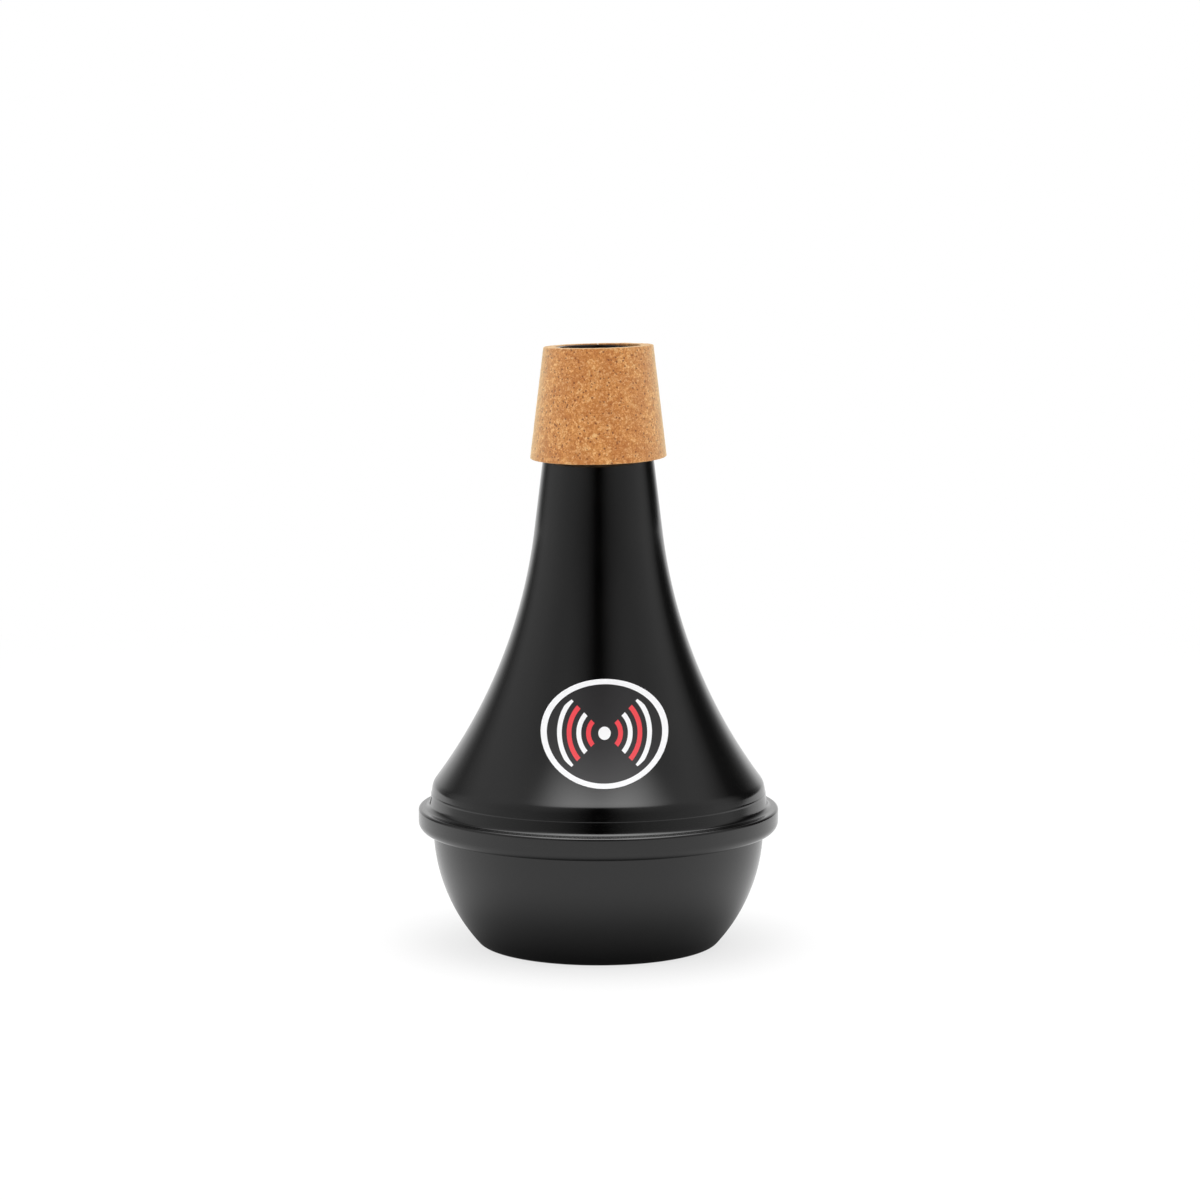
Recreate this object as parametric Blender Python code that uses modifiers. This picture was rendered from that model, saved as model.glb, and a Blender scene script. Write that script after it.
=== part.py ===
# Practice mute for a trumpet.
# A spun upper shell is rolled over the hem of a spun bowl, with a sealing ring in the seam.
# A cork collar, bent from sheet and glued to the conical neck, seals the mute in the bell.
# It stands on the flat of its bowl. +Z is up, -Y is the front, and the origin is the
# middle of that flat.

import math

import bmesh
import bpy
from mathutils import Vector

MM = 0.001
TURN_STEPS = 60

# Sheet metal and clearances
SHEET = 0.8 * MM
GAP = 0.3 * MM

# Neck and flare of the upper shell
NECK_TOP_Z = 149.3 * MM
NECK_TOP_RADIUS = 10.43 * MM
NECK_TAPER = math.radians(6.9)
FLARE_RADIUS = 132.4 * MM

# Rolled rim that closes the seam
RIM_RADIUS = 45.0 * MM
RIM_TOP_Z = 34.3 * MM
RIM_HEIGHT = 5.4 * MM
RIM_TOP_ROUND = 0.9 * MM
RIM_CURL_ROUND = 2.6 * MM
RIM_LEDGE = 2.6 * MM

# Shoulder and band of the upper shell, measured in from the rim
BAND_FOOT_RADIUS = RIM_RADIUS - RIM_LEDGE
BAND_FOOT_ROUND = 1.0 * MM
BAND_SLOPE = 1.05 * MM
SHOULDER_Z = 40.7 * MM
SHOULDER_RADIUS = BAND_FOOT_RADIUS - BAND_SLOPE
SHOULDER_ROUND = 2.0 * MM

# Vent holes, drilled right across the band
VENT_RADIUS = 0.9 * MM
VENT_ABOVE_RIM = 2.3 * MM
VENT_ANGLE = math.radians(5.0)

# Bowl, measured in from the rim
BOWL_INSET = 3.7 * MM
BOWL_RADIUS = RIM_RADIUS - BOWL_INSET
BOWL_SIDE_RADIUS = 43.7 * MM
BOWL_CORNER_ROUND = 2.3 * MM
BOWL_HEM_ROUND = 0.5 * MM
BOWL_HEM_REACH = 0.8 * MM

# Sealing ring
SEAL_WIDTH = 2.3 * MM
SEAL_CHAMFER = 0.35 * MM

# Cork collar, which stands a little proud of the neck, and the glue under it
COLLAR_PROUD = 0.4 * MM
COLLAR_TOP_Z = NECK_TOP_Z + COLLAR_PROUD
COLLAR_LENGTH = 27.5 * MM
COLLAR_THICKNESS = 2.4 * MM
COLLAR_TOP_RISE = math.radians(1.3)
COLLAR_TOP_LEAN = math.radians(-0.9)
COLLAR_BOTTOM_RISE = math.radians(1.1)
COLLAR_BOTTOM_LEAN = math.radians(1.4)
COLLAR_SLIT = 0.4 * MM
GLUE_THICKNESS = 0.2 * MM
GLUE_MARGIN = 1.2 * MM

# Badge on the front of the flare
BADGE_WIDTH = 31.0 * MM
BADGE_HEIGHT = 24.0 * MM
BADGE_Z = 60.0 * MM
BADGE_THICKNESS = 0.2 * MM

# Pieces in each rounded stretch of an outline
FLARE_PIECES = 10
BOWL_PIECES = 8
ROUND_PIECES = 3
CURL_PIECES = 4


def clear_scene():
    for item in list(bpy.data.objects):
        bpy.data.objects.remove(item, do_unlink=True)


def new_collection(name):
    collection = bpy.data.collections.new(name)
    bpy.context.scene.collection.children.link(collection)
    return collection


def make_material(name, colour, roughness, metallic):
    material = bpy.data.materials.new(name)
    material.use_nodes = True
    shader = material.node_tree.nodes["Principled BSDF"]
    shader.inputs["Base Color"].default_value = (*colour, 1.0)
    shader.inputs["Roughness"].default_value = roughness
    shader.inputs["Metallic"].default_value = metallic
    return material


# Outlines lie in the plane of radius and height

def arc(centre, radius, start, end, pieces):
    points = []
    for index in range(pieces + 1):
        angle = start + (end - start) * index / pieces
        points.append(centre + radius * Vector((math.cos(angle), math.sin(angle))))
    return points


def fillet(before, corner, after, radius, pieces):
    # The round that touches both legs of a corner
    leg_in = (before - corner).normalized()
    leg_out = (after - corner).normalized()
    half = leg_in.angle(leg_out) / 2
    centre = corner + (leg_in + leg_out).normalized() * radius / math.sin(half)
    first = corner + leg_in * radius / math.tan(half) - centre
    last = corner + leg_out * radius / math.tan(half) - centre
    start = math.atan2(first.y, first.x)
    sweep = math.atan2(first.cross(last), first.dot(last))
    return arc(centre, radius, start, start + sweep, pieces)


def neck_outline():
    # The neck's cone, then the flare: an arc that leaves the cone smoothly
    # and comes down to the shoulder
    top = Vector((NECK_TOP_RADIUS, NECK_TOP_Z))
    shoulder = Vector((SHOULDER_RADIUS, SHOULDER_Z))
    along = Vector((math.sin(NECK_TAPER), -math.cos(NECK_TAPER)))
    outward = Vector((math.cos(NECK_TAPER), math.sin(NECK_TAPER)))
    reach = shoulder - top
    drop = math.sqrt(FLARE_RADIUS ** 2 - (FLARE_RADIUS - reach.dot(outward)) ** 2)
    cone_end = top + along * (reach.dot(along) - drop)
    centre = cone_end + outward * FLARE_RADIUS
    start = math.pi + NECK_TAPER
    turn = math.asin(drop / FLARE_RADIUS)
    return [top] + arc(centre, FLARE_RADIUS, start, start + turn, FLARE_PIECES)


def upper_shell_outline():
    flare = neck_outline()
    shoulder = flare[-1]
    band_foot = Vector((BAND_FOOT_RADIUS, RIM_TOP_Z))
    rim_top = Vector((RIM_RADIUS, RIM_TOP_Z))
    rim_bottom = Vector((RIM_RADIUS, RIM_TOP_Z - RIM_HEIGHT))
    hook_end = Vector((BOWL_RADIUS + GAP, rim_bottom.y))
    outline = flare[:-1]
    outline += fillet(flare[-2], shoulder, band_foot, SHOULDER_ROUND, ROUND_PIECES)
    outline += fillet(shoulder, band_foot, rim_top, BAND_FOOT_ROUND, ROUND_PIECES)
    outline += fillet(band_foot, rim_top, rim_bottom, RIM_TOP_ROUND, ROUND_PIECES)
    outline += fillet(rim_top, rim_bottom, hook_end, RIM_CURL_ROUND, CURL_PIECES)
    outline.append(hook_end)
    return outline


def hem_seat():
    # The hem's edge and underside rest a clearance inside the rolled rim
    curl_radius = RIM_RADIUS - RIM_CURL_ROUND
    curl_height = RIM_TOP_Z - RIM_HEIGHT + RIM_CURL_ROUND
    room = RIM_CURL_ROUND - SHEET - GAP
    edge_radius = curl_radius + BOWL_HEM_REACH
    underside = curl_height - math.sqrt(room ** 2 - BOWL_HEM_REACH ** 2)
    return Vector((edge_radius, underside))


def bowl_outline():
    hem_edge = hem_seat()
    hem_corner = Vector((BOWL_RADIUS, hem_edge.y))
    side_start = Vector((BOWL_RADIUS, hem_edge.y - BOWL_HEM_ROUND))
    side_centre = side_start - Vector((BOWL_SIDE_RADIUS, 0.0))
    turn = math.asin(side_start.y / BOWL_SIDE_RADIUS)
    side = arc(side_centre, BOWL_SIDE_RADIUS, 0.0, -turn, BOWL_PIECES)
    floor_middle = Vector((0.0, 0.0))
    outline = [hem_edge]
    outline += fillet(hem_edge, hem_corner, side_start, BOWL_HEM_ROUND, ROUND_PIECES)
    outline += side[1:-1]
    outline += fillet(side[-2], side[-1], floor_middle, BOWL_CORNER_ROUND, ROUND_PIECES)
    outline.append(floor_middle)
    return outline


def neck_radius(height, away):
    # Radius of the neck's cone, moved out by a distance square to its surface
    cone = NECK_TOP_RADIUS + (NECK_TOP_Z - height) * math.tan(NECK_TAPER)
    return cone + away / math.cos(NECK_TAPER)


# Solids

def outline_object(name, outline, closed, collection):
    mesh = bpy.data.meshes.new(name)
    shape = bmesh.new()
    corners = [shape.verts.new((point.x, 0.0, point.y)) for point in outline]
    for first, second in zip(corners, corners[1:]):
        shape.edges.new((first, second))
    if closed:
        shape.edges.new((corners[-1], corners[0]))
    shape.to_mesh(mesh)
    shape.free()
    item = bpy.data.objects.new(name, mesh)
    collection.objects.link(item)
    return item


def turn_round(item):
    screw = item.modifiers.new("turn", "SCREW")
    screw.steps = TURN_STEPS
    screw.render_steps = TURN_STEPS
    screw.use_merge_vertices = True
    screw.merge_threshold = 0.00001
    screw.use_smooth_shade = True


def turned_sheet(name, outline, thickness, collection):
    item = outline_object(name, outline, False, collection)
    turn_round(item)
    wall = item.modifiers.new("wall", "SOLIDIFY")
    wall.thickness = thickness
    wall.offset = -1.0
    wall.use_even_offset = True
    return item


def turned_ring(name, section, collection):
    item = outline_object(name, section, True, collection)
    turn_round(item)
    return item


def combine(item, operation, tool):
    step = item.modifiers.new(tool.name, "BOOLEAN")
    step.operation = operation
    step.solver = "EXACT"
    step.object = tool


def box_cutter(name, size, location, tilt, collection):
    mesh = bpy.data.meshes.new(name)
    shape = bmesh.new()
    bmesh.ops.create_cube(shape, size=1.0)
    bmesh.ops.scale(shape, vec=size, verts=shape.verts)
    shape.to_mesh(mesh)
    shape.free()
    return place_cutter(name, mesh, location, tilt, collection)


def rod_cutter(name, radius, length, segments, tilt, location, collection):
    mesh = bpy.data.meshes.new(name)
    shape = bmesh.new()
    bmesh.ops.create_cone(
        shape, cap_ends=True, segments=segments, radius1=radius, radius2=radius, depth=length
    )
    shape.to_mesh(mesh)
    shape.free()
    return place_cutter(name, mesh, location, tilt, collection)


def place_cutter(name, mesh, location, tilt, collection):
    cutter = bpy.data.objects.new(name, mesh)
    cutter.location = location
    cutter.rotation_euler = tilt
    cutter.hide_render = True
    cutter.display_type = "WIRE"
    collection.objects.link(cutter)
    return cutter


# Sub-parts

def make_upper_shell(parts, cutters, black):
    shell = turned_sheet("upper_shell", upper_shell_outline(), SHEET, parts)
    drill = rod_cutter(
        "vent_drill",
        VENT_RADIUS,
        2 * (RIM_RADIUS + SHEET),
        12,
        (0.0, math.pi / 2, VENT_ANGLE),
        (0.0, 0.0, RIM_TOP_Z + VENT_ABOVE_RIM),
        cutters,
    )
    combine(shell, "DIFFERENCE", drill)
    shell.data.materials.append(black)


def make_base_bowl(parts, black):
    bowl = turned_sheet("base_bowl", bowl_outline(), SHEET, parts)
    bowl.data.materials.append(black)


def make_seam_seal(parts, rubber):
    # A ring of chamfered square section that fills the rolled rim above the bowl's hem
    outer = RIM_RADIUS - SHEET - GAP
    inner = outer - SEAL_WIDTH
    top = RIM_TOP_Z - SHEET - GAP
    bottom = hem_seat().y + SHEET + GAP
    section = [
        Vector((outer - SEAL_CHAMFER, top)),
        Vector((outer, top - SEAL_CHAMFER)),
        Vector((outer, bottom + SEAL_CHAMFER)),
        Vector((outer - SEAL_CHAMFER, bottom)),
        Vector((inner + SEAL_CHAMFER, bottom)),
        Vector((inner, bottom + SEAL_CHAMFER)),
        Vector((inner, top - SEAL_CHAMFER)),
        Vector((inner + SEAL_CHAMFER, top)),
    ]
    seal = turned_ring("seam_seal", section, parts)
    seal.data.materials.append(rubber)


def cone_section(top, bottom, inside, outside):
    # A sleeve round the neck's cone, between two distances from its surface
    return [
        Vector((neck_radius(top, outside), top)),
        Vector((neck_radius(bottom, outside), bottom)),
        Vector((neck_radius(bottom, inside), bottom)),
        Vector((neck_radius(top, inside), top)),
    ]


def make_collar_glue(parts, glue_colour):
    top = min(COLLAR_TOP_Z, NECK_TOP_Z) - GLUE_MARGIN
    bottom = COLLAR_TOP_Z - COLLAR_LENGTH + GLUE_MARGIN
    section = cone_section(top, bottom, GAP, GAP + GLUE_THICKNESS)
    glue = turned_ring("collar_glue", section, parts)
    glue.data.materials.append(glue_colour)


def make_cork_collar(parts, cutters, cork):
    # The sleeve is made long, trimmed by two planes that are a little off square,
    # as a knife leaves them, and slit at the back where the ends of the sheet meet
    bottom = COLLAR_TOP_Z - COLLAR_LENGTH
    inside = 2 * GAP + GLUE_THICKNESS
    outside = inside + COLLAR_THICKNESS
    widest = neck_radius(bottom, outside)
    spare = widest * 0.2
    section = cone_section(COLLAR_TOP_Z + spare, bottom - spare, inside, outside)
    collar = turned_ring("cork_collar", section, parts)
    block = 4 * widest
    trims = (
        ("collar_top_trim", COLLAR_TOP_Z, 1.0, COLLAR_TOP_LEAN, COLLAR_TOP_RISE),
        ("collar_bottom_trim", bottom, -1.0, COLLAR_BOTTOM_LEAN, COLLAR_BOTTOM_RISE),
    )
    for name, height, side, lean, rise in trims:
        normal = Vector((-math.tan(rise), -math.tan(lean), 1.0)).normalized()
        tilt = normal.to_track_quat("Z", "Y").to_euler()
        middle = Vector((0.0, 0.0, height)) + normal * side * block / 2
        combine(collar, "DIFFERENCE", box_cutter(name, (block, block, block), middle, tilt, cutters))
    slit = box_cutter(
        "collar_slit_saw",
        (COLLAR_SLIT, 2 * widest, 3 * COLLAR_LENGTH),
        (0.0, widest, COLLAR_TOP_Z - COLLAR_LENGTH / 2),
        (0.0, 0.0, 0.0),
        cutters,
    )
    combine(collar, "DIFFERENCE", slit)
    collar.data.materials.append(cork)


def make_badge(parts, cutters, enamel):
    # A thin skin that follows the flare, cut to an oval from the front
    flare = neck_outline()[1:]
    upright = []
    for before, point, after in zip([flare[0]] + flare, flare, flare[1:] + [flare[-1]]):
        along = (after - before).normalized()
        upright.append((point, Vector((-along.y, along.x))))
    outer = [point + normal * (GAP + BADGE_THICKNESS) for point, normal in upright]
    inner = [point + normal * GAP for point, normal in upright]
    badge = turned_ring("badge", outer + inner[::-1], parts)
    depth = 2 * SHOULDER_RADIUS
    punch = rod_cutter(
        "badge_punch",
        BADGE_WIDTH / 2,
        depth,
        40,
        (math.pi / 2, 0.0, 0.0),
        (0.0, -depth / 2, BADGE_Z),
        cutters,
    )
    for corner in punch.data.vertices:
        corner.co.y *= BADGE_HEIGHT / BADGE_WIDTH
    combine(badge, "INTERSECT", punch)
    badge.data.materials.append(enamel)


def main():
    clear_scene()
    parts = new_collection("practice_mute")
    cutters = new_collection("cutters")
    black = make_material("black_anodised", (0.012, 0.012, 0.013), 0.28, 0.9)
    rubber = make_material("seal_rubber", (0.03, 0.03, 0.03), 0.8, 0.0)
    cork = make_material("cork", (0.60, 0.33, 0.14), 0.85, 0.0)
    glue = make_material("glue", (0.35, 0.20, 0.08), 0.5, 0.0)
    enamel = make_material("badge_print", (0.8, 0.8, 0.8), 0.35, 0.0)
    make_upper_shell(parts, cutters, black)
    make_base_bowl(parts, black)
    make_seam_seal(parts, rubber)
    make_collar_glue(parts, glue)
    make_cork_collar(parts, cutters, cork)
    make_badge(parts, cutters, enamel)


main()
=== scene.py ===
"""Practice mute for a trumpet: the finish of every surface, round the fixed frame.

The upper shell is spun sheet, rolled at its rim over the hem of a spun bowl. A cork collar is
glued round the neck. Lengths are in metres, +Z is up and the front of the mute faces -Y.
"""

import logging
import math
from dataclasses import dataclass, field
from enum import Enum

import bpy
from mathutils import Matrix, Vector, noise


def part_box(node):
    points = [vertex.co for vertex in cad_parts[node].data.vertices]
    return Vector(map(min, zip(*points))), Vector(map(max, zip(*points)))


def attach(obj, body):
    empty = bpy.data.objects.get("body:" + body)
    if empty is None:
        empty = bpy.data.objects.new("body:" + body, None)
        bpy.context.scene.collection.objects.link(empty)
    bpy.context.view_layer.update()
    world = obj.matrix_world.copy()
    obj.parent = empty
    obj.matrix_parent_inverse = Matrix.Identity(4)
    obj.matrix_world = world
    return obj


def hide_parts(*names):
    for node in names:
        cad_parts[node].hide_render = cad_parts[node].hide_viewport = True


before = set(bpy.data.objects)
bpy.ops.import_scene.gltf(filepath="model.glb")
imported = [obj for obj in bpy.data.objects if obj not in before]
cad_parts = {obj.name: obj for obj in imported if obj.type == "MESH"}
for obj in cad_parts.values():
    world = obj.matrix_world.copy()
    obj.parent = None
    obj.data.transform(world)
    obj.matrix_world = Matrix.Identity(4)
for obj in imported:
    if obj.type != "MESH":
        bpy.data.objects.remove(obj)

LOG = logging.getLogger("practice_mute")
MM = 0.001
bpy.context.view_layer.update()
WELD_REACH = 0.002 * MM
SHARP_EDGE = math.radians(62)
SMOOTH_BELOW = math.radians(35)
BEVEL_FACES = 2
DRILL_SIDES = 28
NEARLY_ZERO = 0.0001


class Step(Enum):
    """How finely a turned piece is spun."""

    SHEET = 192
    CORK = 224
    RING = 96


class Pieces(Enum):
    """How many straight pieces an arc of an outline has."""

    CORK_EDGE = 4
    HEM = 5
    ROUND = 8
    BOWL_CORNER = 10
    CURL = 12
    BOWL_SIDE = 30
    FLARE = 40


# Outlines, drawn in the plane of radius and height

def arc(centre: Vector, radius: float, start: float, end: float, pieces: Pieces) -> list[Vector]:
    """Return points along an arc.

    Args:
        centre: middle of the arc, as radius and height.
        radius: radius of the arc.
        start: angle of the first point, from the radius axis.
        end: angle of the last point.
        pieces: number of straight pieces.

    Returns:
        The points, one more than the pieces.
    """
    count = pieces.value
    turns = [start + (end - start) * index / count for index in range(count + 1)]
    return [centre + radius * Vector((math.cos(turn), math.sin(turn))) for turn in turns]


def fillet(
    before: Vector, corner: Vector, after: Vector, radius: float, pieces: Pieces
) -> list[Vector]:
    """Return the round that touches both legs of a corner.

    Args:
        before: a point on the leg that comes in.
        corner: the sharp corner.
        after: a point on the leg that goes out.
        radius: radius of the round.
        pieces: number of straight pieces.

    Returns:
        The points of the round, in order.
    """
    leg_in = (before - corner).normalized()
    leg_out = (after - corner).normalized()
    half = leg_in.angle(leg_out) / 2
    centre = corner + (leg_in + leg_out).normalized() * radius / math.sin(half)
    first = corner + leg_in * radius / math.tan(half) - centre
    last = corner + leg_out * radius / math.tan(half) - centre
    start = math.atan2(first.y, first.x)
    sweep = math.atan2(first.cross(last), first.dot(last))
    return arc(centre, radius, start, start + sweep, pieces)


def divided(points: list[Vector], longest: float) -> list[Vector]:
    """Return an outline whose straight stretches are cut to short pieces.

    Args:
        points: the outline.
        longest: the longest piece allowed.

    Returns:
        The outline with points added along its long pieces.
    """
    out = [points[0]]
    for start, end in zip(points, points[1:]):
        count = max(1, math.ceil((end - start).length / longest))
        out += [start.lerp(end, (index + 1) / count) for index in range(count)]
    return out


# Modelling steps

def deselect_all() -> None:
    """Leave nothing selected, the frame's nodes included."""
    bpy.ops.object.select_all(action="DESELECT")


def activate(piece: bpy.types.Object) -> None:
    """Make a piece the only one selected, and the active one."""
    deselect_all()
    piece.select_set(True)
    bpy.context.view_layer.objects.active = piece


def drawn_outline(name: str, points: list[Vector]) -> bpy.types.Object:
    """Draw an outline by extruding one corner from point to point.

    Args:
        name: the piece's name.
        points: the outline, as radius and height.

    Returns:
        The piece, an open line in the plane of X and Z.
    """
    deselect_all()
    first = points[0]
    bpy.ops.mesh.primitive_circle_add(vertices=3, radius=MM, location=(first.x, 0.0, first.y))
    piece = bpy.context.active_object
    piece.name = name
    piece.data.name = name
    bpy.ops.object.transform_apply(location=True, rotation=True, scale=True)
    bpy.ops.object.mode_set(mode="EDIT")
    bpy.ops.mesh.select_all(action="SELECT")
    bpy.ops.mesh.merge(type="CENTER")
    for start, end in zip(points, points[1:]):
        move = (end.x - start.x, 0.0, end.y - start.y)
        bpy.ops.mesh.extrude_region_move(TRANSFORM_OT_translate={"value": move})
    bpy.ops.object.mode_set(mode="OBJECT")
    return piece


def spun(piece: bpy.types.Object, steps: Step, sweep: float = math.tau) -> None:
    """Spin a drawn outline round the mute's axis and weld it.

    Args:
        piece: the outline.
        steps: number of steps in the sweep.
        sweep: angle that the spin covers.
    """
    axis = {"center": (0.0, 0.0, 0.0), "axis": (0.0, 0.0, 1.0)}
    activate(piece)
    bpy.ops.object.mode_set(mode="EDIT")
    bpy.ops.mesh.select_all(action="SELECT")
    bpy.ops.mesh.spin(steps=steps.value, angle=sweep, **axis)
    bpy.ops.mesh.select_all(action="SELECT")
    bpy.ops.mesh.remove_doubles(threshold=WELD_REACH)
    bpy.ops.mesh.normals_make_consistent(inside=False)
    bpy.ops.object.mode_set(mode="OBJECT")


def faces_outward(piece: bpy.types.Object) -> None:
    """Turn an open sheet so that its faces point away from the axis.

    Args:
        piece: the sheet, before it gets its wall.
    """
    leaning = 0.0
    for face in piece.data.polygons:
        away = Vector((face.center.x, face.center.y, 0.0))
        leaning += face.normal.dot(away) * face.area
    if leaning < 0.0:
        activate(piece)
        bpy.ops.object.mode_set(mode="EDIT")
        bpy.ops.mesh.select_all(action="SELECT")
        bpy.ops.mesh.flip_normals()
        bpy.ops.object.mode_set(mode="OBJECT")


def thickened(piece: bpy.types.Object, sheet: float, offset: float = -1.0) -> None:
    """Give an open sheet its wall.

    Args:
        piece: the sheet.
        sheet: thickness of the wall.
        offset: -1 puts the wall behind the surface, 1 in front of it.
    """
    activate(piece)
    wall = piece.modifiers.new("wall", "SOLIDIFY")
    wall.thickness = sheet
    wall.offset = offset
    wall.use_even_offset = True
    bpy.ops.object.modifier_apply(modifier=wall.name)


def softened(piece: bpy.types.Object, width: float) -> None:
    """Round the sharp edges of a piece.

    Args:
        piece: the piece.
        width: width of the round.
    """
    activate(piece)
    bevel = piece.modifiers.new("round", "BEVEL")
    bevel.width = width
    bevel.limit_method = "ANGLE"
    bevel.angle_limit = SHARP_EDGE
    bevel.segments = BEVEL_FACES
    bpy.ops.object.modifier_apply(modifier=bevel.name)


def drilled(piece: bpy.types.Object, radius: float, length: float, height: float, turn: float) -> None:
    """Drill a hole right across a piece.

    Args:
        piece: the piece.
        radius: radius of the hole.
        length: length of the drill.
        height: height of the hole.
        turn: angle of the drill from the X axis.
    """
    deselect_all()
    bpy.ops.mesh.primitive_cylinder_add(
        vertices=DRILL_SIDES,
        radius=radius,
        depth=length,
        location=(0.0, 0.0, height),
        rotation=(0.0, math.pi / 2, turn),
    )
    drill = bpy.context.active_object
    cut = piece.modifiers.new("hole", "BOOLEAN")
    cut.operation = "DIFFERENCE"
    cut.solver = "EXACT"
    cut.object = drill
    activate(piece)
    bpy.ops.object.modifier_apply(modifier=cut.name)
    bpy.data.objects.remove(drill, do_unlink=True)


def smoothed(piece: bpy.types.Object) -> None:
    """Shade a piece smooth, its sharp edges left out.

    Args:
        piece: the piece.
    """
    activate(piece)
    bpy.ops.object.shade_smooth_by_angle(angle=SMOOTH_BELOW)
    deselect_all()


# Shader maths

class Signal:
    """One shader socket that can be used in Python expressions."""

    def __init__(self, book: "NodeBook", socket: bpy.types.NodeSocket) -> None:
        """Wrap a socket of a node tree."""
        self.book = book
        self.socket = socket

    def _math(self, operation: str, *others: "Signal | float") -> "Signal":
        """Add a Math node whose first value is this one."""
        return self.book.node("ShaderNodeMath", (self, *others), operation=operation)

    def __add__(self, other: "Signal | float") -> "Signal":
        """Add."""
        return self._math("ADD", other)

    __radd__ = __add__

    def __sub__(self, other: "Signal | float") -> "Signal":
        """Subtract."""
        return self._math("SUBTRACT", other)

    def __rsub__(self, other: float) -> "Signal":
        """Subtract this value from a number."""
        return self.book.node("ShaderNodeMath", (other, self), operation="SUBTRACT")

    def __mul__(self, other: "Signal | float") -> "Signal":
        """Multiply."""
        return self._math("MULTIPLY", other)

    __rmul__ = __mul__

    def __truediv__(self, other: "Signal | float") -> "Signal":
        """Divide."""
        return self._math("DIVIDE", other)

    def __rtruediv__(self, other: float) -> "Signal":
        """Divide a number by this value."""
        return self.book.node("ShaderNodeMath", (other, self), operation="DIVIDE")

    def __lt__(self, other: "Signal | float") -> "Signal":
        """Return 1 where this value is the lower one."""
        return self._math("LESS_THAN", other)

    def __gt__(self, other: "Signal | float") -> "Signal":
        """Return 1 where this value is the higher one."""
        return self._math("GREATER_THAN", other)

    def __abs__(self) -> "Signal":
        """Drop the sign."""
        return self._math("ABSOLUTE")

    def root(self) -> "Signal":
        """Return the square root."""
        return self._math("SQRT")

    def at_least(self, floor: float) -> "Signal":
        """Hold the value up to a floor."""
        return self._math("MAXIMUM", floor)

    def step(self, low: float, high: float) -> "Signal":
        """Rise smoothly from 0 at low to 1 at high."""
        values = (self, low, high, 0.0, 1.0)
        return self.book.node("ShaderNodeMapRange", values, interpolation_type="SMOOTHSTEP")


class NodeBook:
    """A node tree with short ways to add nodes to it."""

    def __init__(self, tree: bpy.types.NodeTree) -> None:
        """Start on a tree."""
        self.tree = tree

    def node(
        self,
        kind: str,
        values: "tuple | dict" = (),
        out: "int | str" = 0,
        **settings: object,
    ) -> Signal:
        """Add a node, set it up and feed it.

        Args:
            kind: the node's type.
            values: what its inputs get, in order, or by name or number in a dict.
            out: the output to return, by number or name.
            settings: attributes of the node, set before its inputs.

        Returns:
            The chosen output.
        """
        made = self.tree.nodes.new(kind)
        for name, setting in settings.items():
            setattr(made, name, setting)
        pairs = values.items() if isinstance(values, dict) else enumerate(values)
        for key, value in pairs:
            self.feed(made.inputs[key], value)
        return Signal(self, made.outputs[out])

    def feed(self, socket: bpy.types.NodeSocket, value: object) -> None:
        """Link a signal to a socket, or set the socket to a plain value.

        Args:
            socket: the input to feed.
            value: the signal or the plain value.
        """
        if isinstance(value, Signal):
            self.tree.links.new(value.socket, socket)
        else:
            socket.default_value = value

    def ramp(self, value: Signal, stops: "list[tuple[float, tuple]]") -> Signal:
        """Turn a value into a colour.

        Args:
            value: the value, from 0 to 1.
            stops: place and colour of each stop, in order.

        Returns:
            The colour.
        """
        made = self.tree.nodes.new("ShaderNodeValToRGB")
        elements = made.color_ramp.elements
        while len(elements) < len(stops):
            elements.new(1.0)
        for element, (place, colour) in zip(elements, stops):
            element.position = place
            element.color = (*colour, 1.0)
        self.feed(made.inputs[0], value)
        return Signal(self, made.outputs[0])

    def blend(self, share: "Signal | float", below: object, above: object) -> Signal:
        """Mix two colours.

        Args:
            share: share of the upper colour.
            below: the lower colour.
            above: the upper colour.

        Returns:
            The mixed colour.
        """
        made = self.tree.nodes.new("ShaderNodeMix")
        made.data_type = "RGBA"
        self.feed(made.inputs[0], share)
        for socket, colour in ((made.inputs[6], below), (made.inputs[7], above)):
            self.feed(socket, colour if isinstance(colour, Signal) else (*colour, 1.0))
        return Signal(self, made.outputs[2])

    def parts(self, vector: Signal) -> tuple[Signal, Signal, Signal]:
        """Part a vector.

        Args:
            vector: the vector.

        Returns:
            Its X, Y and Z.
        """
        made = self.tree.nodes.new("ShaderNodeSeparateXYZ")
        self.feed(made.inputs[0], vector)
        x, y, z = (Signal(self, socket) for socket in made.outputs)
        return x, y, z

    def point(self) -> Signal:
        """Return the place on the piece, in its own coordinates."""
        return self.node("ShaderNodeTexCoord", out="Object")

    def surface(self, shader: Signal) -> None:
        """Make a shader the material's surface."""
        made = self.tree.nodes.new("ShaderNodeOutputMaterial")
        self.feed(made.inputs["Surface"], shader)

    def sky(self, shader: Signal) -> None:
        """Make a shader the world's surface."""
        made = self.tree.nodes.new("ShaderNodeOutputWorld")
        self.feed(made.inputs["Surface"], shader)

    def noise(self, point: Signal, scale: float, detail: float = 2.0, rough: float = 0.5) -> Signal:
        """Return soft noise from 0 to 1."""
        values = {"Vector": point, "Scale": scale, "Detail": detail, "Roughness": rough}
        return self.node("ShaderNodeTexNoise", values)

    def bump(self, height: Signal, depth: float, strength: float) -> Signal:
        """Return a normal that follows a height.

        Args:
            height: the height, from 0 to 1.
            depth: the depth that 1 stands for, in metres.
            strength: share of the effect.

        Returns:
            The normal.
        """
        values = {"Strength": strength, "Distance": depth, "Height": height}
        return self.node("ShaderNodeBump", values)


# Finishes

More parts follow.
